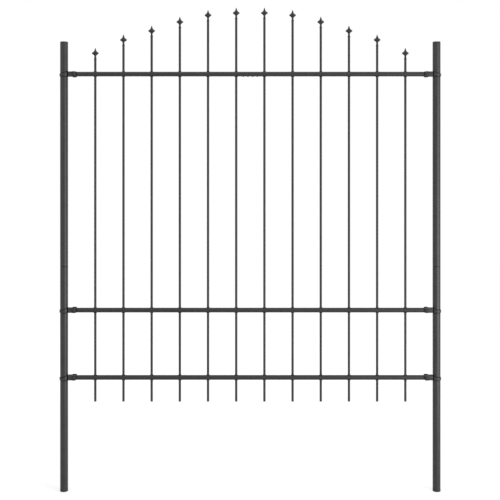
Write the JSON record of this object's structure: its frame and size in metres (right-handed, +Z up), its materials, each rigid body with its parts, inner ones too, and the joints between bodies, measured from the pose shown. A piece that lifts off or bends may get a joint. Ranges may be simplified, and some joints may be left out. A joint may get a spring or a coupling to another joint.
{
  "type": "garden fence panel",
  "caption": "Open garden fence bay: round posts carry three round rails and an arched row of spear-topped pickets, held by bolted strap clamps.",
  "frame": {"origin": "centre of the flat underside of the left post's foot plug", "axes": "+Z up along the posts, +X towards the right post, -Y towards the front"},
  "size_m": [1.7052, 0.0422, 2.16],
  "materials": {
    "post_steel": "satin powder coat",
    "panel_steel": "satin powder coat",
    "clamp_steel": "satin powder coat",
    "bolt_steel": "satin, dark",
    "plug_plastic": "matte"
  },
  "bodies": {
    "root": {"bottom_rail": "panel_steel", "finial_01": "panel_steel", "finial_02": "panel_steel", "finial_03": "panel_steel", "finial_04": "panel_steel", "finial_05": "panel_steel", "finial_06": "panel_steel", "finial_07": "panel_steel", "finial_08": "panel_steel", "finial_09": "panel_steel", "finial_10": "panel_steel", "finial_11": "panel_steel", "finial_12": "panel_steel", "left_bottom_clamp": "clamp_steel", "left_clamp_bolts": "bolt_steel", "left_foot_plug": "plug_plastic", "left_middle_clamp": "clamp_steel", "left_post_cap": "plug_plastic", "left_post_lower": "post_steel", "left_post_upper": "post_steel", "left_top_clamp": "clamp_steel", "middle_rail": "panel_steel", "picket_01": "panel_steel", "picket_02": "panel_steel", "picket_03": "panel_steel", "picket_04": "panel_steel", "picket_05": "panel_steel", "picket_06": "panel_steel", "picket_07": "panel_steel", "picket_08": "panel_steel", "picket_09": "panel_steel", "picket_10": "panel_steel", "picket_11": "panel_steel", "picket_12": "panel_steel", "right_bottom_clamp": "clamp_steel", "right_clamp_bolts": "bolt_steel", "right_foot_plug": "plug_plastic", "right_middle_clamp": "clamp_steel", "right_post_cap": "plug_plastic", "right_post_lower": "post_steel", "right_post_upper": "post_steel", "right_top_clamp": "clamp_steel", "top_rail": "panel_steel"}
  },
  "joints": []
}
